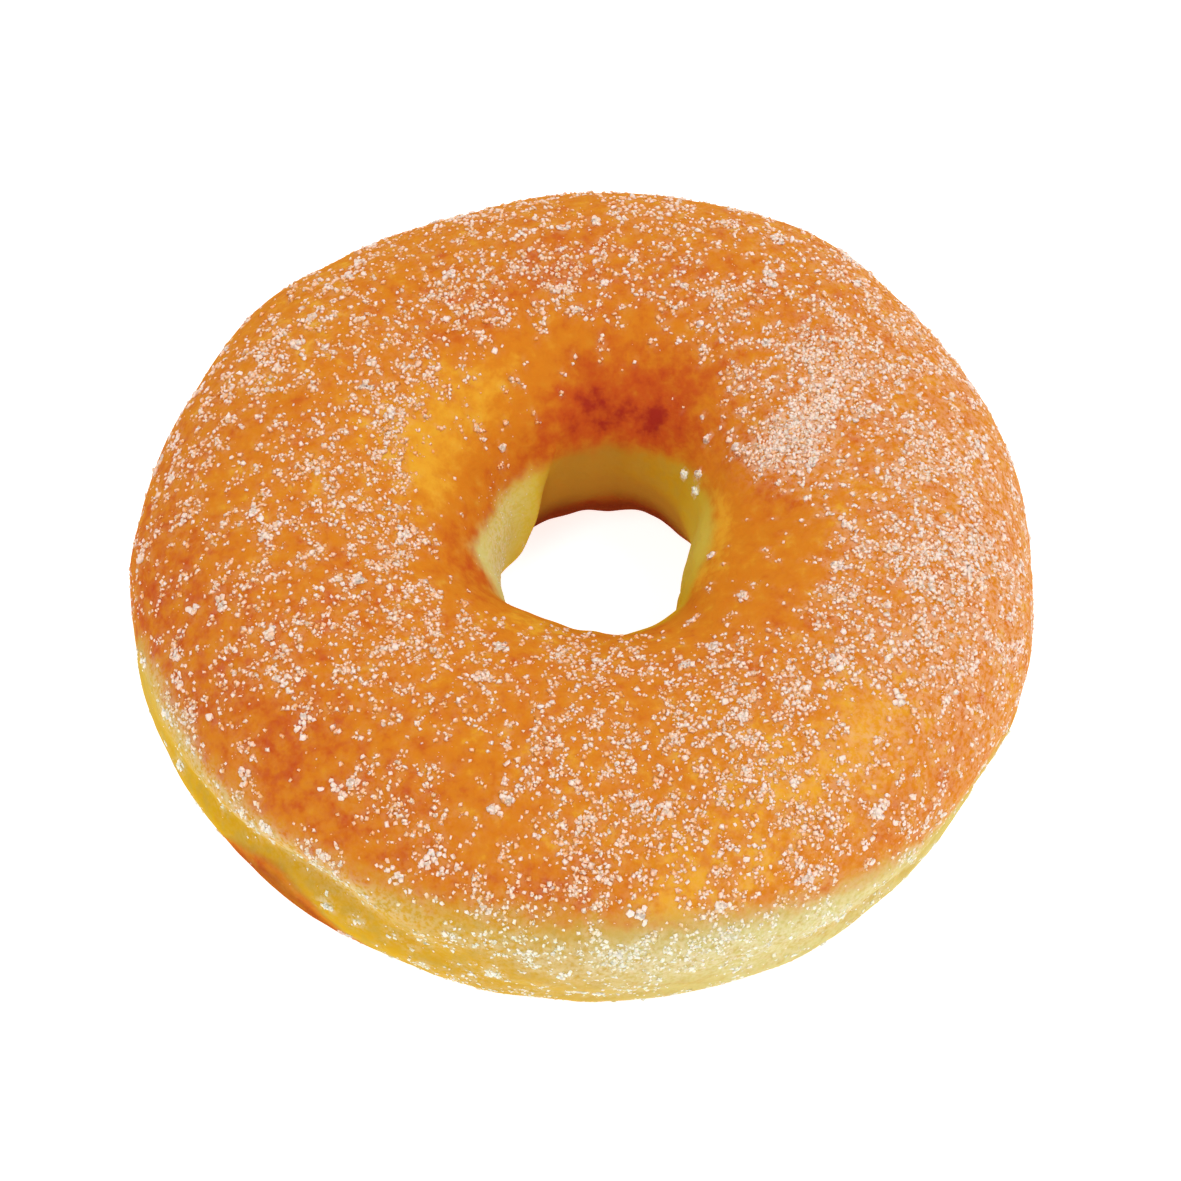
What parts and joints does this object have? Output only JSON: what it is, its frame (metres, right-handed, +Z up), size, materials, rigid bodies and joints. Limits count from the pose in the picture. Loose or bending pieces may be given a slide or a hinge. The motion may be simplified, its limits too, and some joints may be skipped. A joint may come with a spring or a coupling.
{
  "type": "fried ring doughnut",
  "caption": "Ring doughnut of raised dough, fried golden brown above and below with a pale band round its waist, rolled in granulated sugar.",
  "frame": {"origin": "middle of the ring, on the surface that the doughnut rests on", "axes": "+Z up out of the fried top face; +X to the right and -Y towards the viewer as the picture shows it"},
  "size_m": [0.0918, 0.0908, 0.0297],
  "materials": {
    "crust": "fried crust, slightly oily, golden brown with a pale yellow waist",
    "sugar": "white translucent sugar crystals"
  },
  "bodies": {
    "root": {"doughnut": "crust"}
  },
  "joints": []
}
